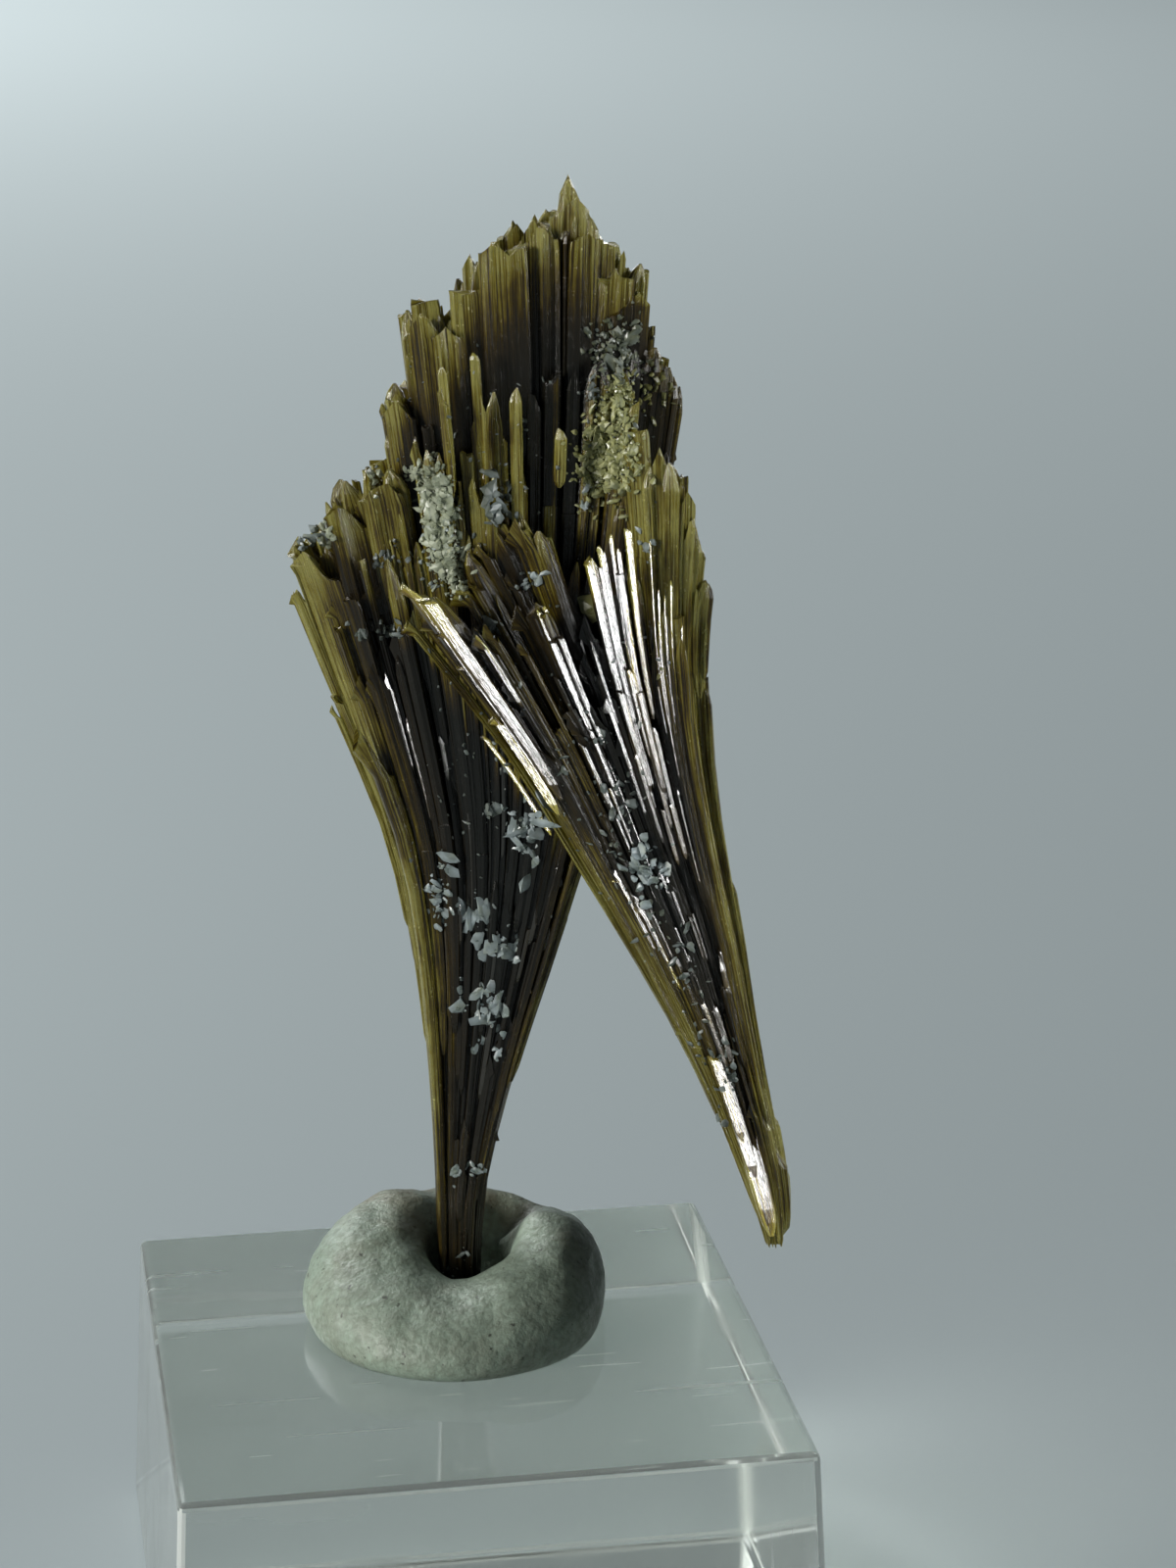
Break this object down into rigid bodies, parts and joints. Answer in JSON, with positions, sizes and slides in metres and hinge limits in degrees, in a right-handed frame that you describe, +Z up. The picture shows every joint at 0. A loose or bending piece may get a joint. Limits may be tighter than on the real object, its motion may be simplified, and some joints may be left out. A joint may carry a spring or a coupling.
{
  "type": "epidote specimen",
  "caption": "Fans of long striated epidote crystals, grown together and fanning upwards, standing in a ring of mineral putty on a clear acrylic block.",
  "frame": {"origin": "middle of the block's underside", "axes": "+Z up through the specimen, +X along the block's front edge to the right, +Y away from the front"},
  "size_m": [0.027, 0.0266, 0.0614],
  "materials": {
    "epidote": "glassy crystal faces, striated along their length, olive yellow where thin",
    "putty": "soft waxy grey-green clay with thumb marks",
    "acrylic": "clear polished acrylic"
  },
  "bodies": {
    "root": {"epidote_cluster": "epidote", "mounting_putty": "putty", "acrylic_block": "acrylic"}
  },
  "joints": []
}
